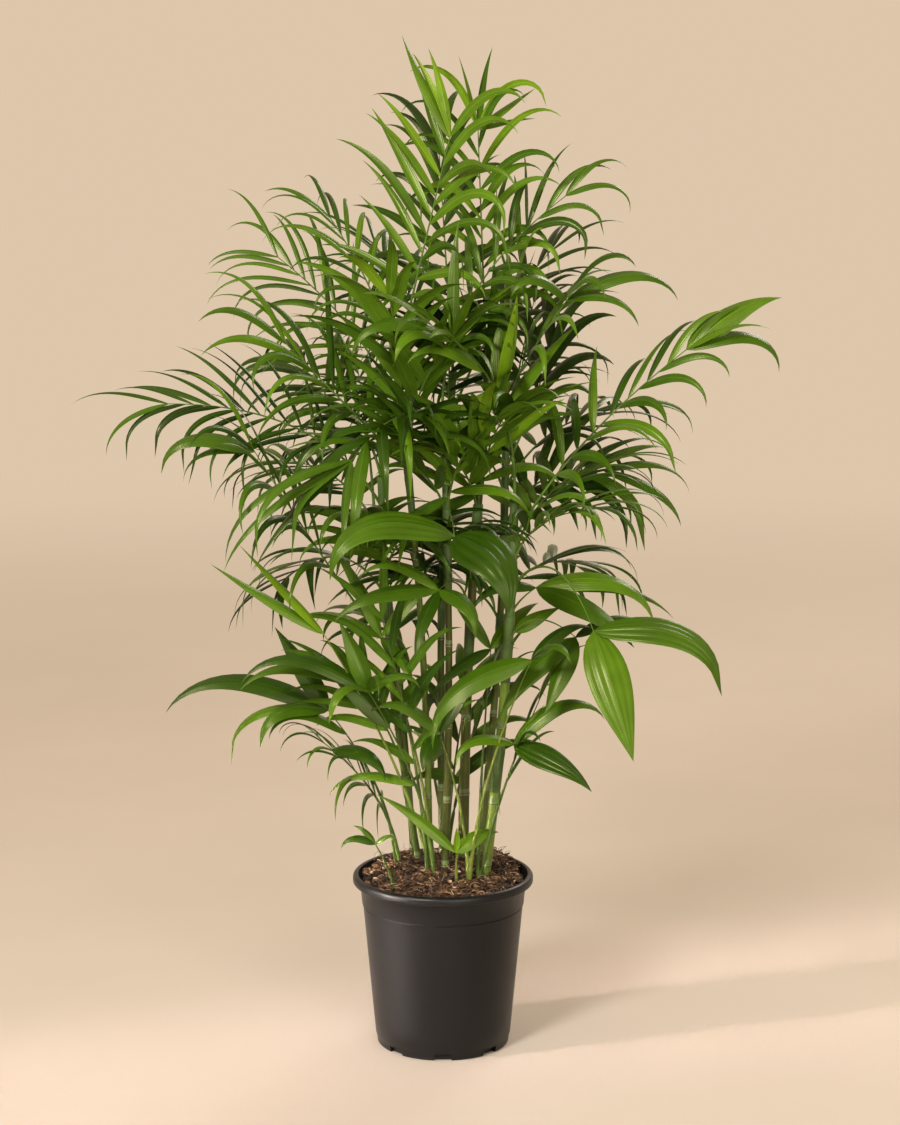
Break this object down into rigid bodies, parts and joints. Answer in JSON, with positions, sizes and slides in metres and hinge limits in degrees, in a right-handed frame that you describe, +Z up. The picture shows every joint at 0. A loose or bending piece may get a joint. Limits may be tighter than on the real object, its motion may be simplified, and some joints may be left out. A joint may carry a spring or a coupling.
{
  "type": "potted bamboo palm",
  "caption": "Clump of ringed green canes with arching feathery fronds, planted in bark soil in a tapered dark pot that stands on its flat underside.",
  "frame": {"origin": "centre of the pot's flat underside, on the surface it stands on", "axes": "+Z up along the canes, +X to the right and -Y towards the viewer in the picture's view"},
  "size_m": [1.0244, 0.7535, 1.5169],
  "materials": {
    "pot": "moulded charcoal plastic, satin with faint turning lines",
    "soil": "bark and coir potting mix, brown with paler chips and fibres",
    "cane": "smooth ringed cane, dark green to yellow-green, with pale scars at the nodes",
    "frond": "leaf green, softly glossy, with fine lengthwise veins"
  },
  "bodies": {
    "root": {"cane_back": "cane", "cane_back_left": "cane", "cane_back_right": "cane", "cane_centre": "cane", "cane_left": "cane", "cane_right": "cane", "cane_slim": "cane", "cane_tall": "cane", "frond_back_1": "frond", "frond_back_2": "frond", "frond_back_3": "frond", "frond_back_4": "frond", "frond_back_5": "frond", "frond_back_left_1": "frond", "frond_back_left_2": "frond", "frond_back_left_3": "frond", "frond_back_left_4": "frond", "frond_back_right_1": "frond", "frond_back_right_2": "frond", "frond_back_right_3": "frond", "frond_back_right_4": "frond", "frond_back_right_5": "frond", "frond_centre_1": "frond", "frond_centre_2": "frond", "frond_centre_3": "frond", "frond_centre_4": "frond", "frond_left_1": "frond", "frond_left_2": "frond", "frond_left_3": "frond", "frond_left_4": "frond", "frond_left_5": "frond", "frond_right_1": "frond", "frond_right_2": "frond", "frond_right_3": "frond", "frond_right_4": "frond", "frond_right_5": "frond", "frond_right_6": "frond", "frond_right_7": "frond", "frond_slim_1": "frond", "frond_slim_2": "frond", "frond_slim_3": "frond", "frond_slim_4": "frond", "frond_slim_5": "frond", "frond_tall_1": "frond", "frond_tall_2": "frond", "frond_tall_3": "frond", "frond_tall_4": "frond", "frond_tall_5": "frond", "frond_young_1": "frond", "frond_young_10": "frond", "frond_young_2": "frond", "frond_young_3": "frond", "frond_young_4": "frond", "frond_young_5": "frond", "frond_young_6": "frond", "frond_young_7": "frond", "frond_young_8": "frond", "frond_young_9": "frond", "pot": "pot", "soil": "soil"}
  },
  "joints": []
}
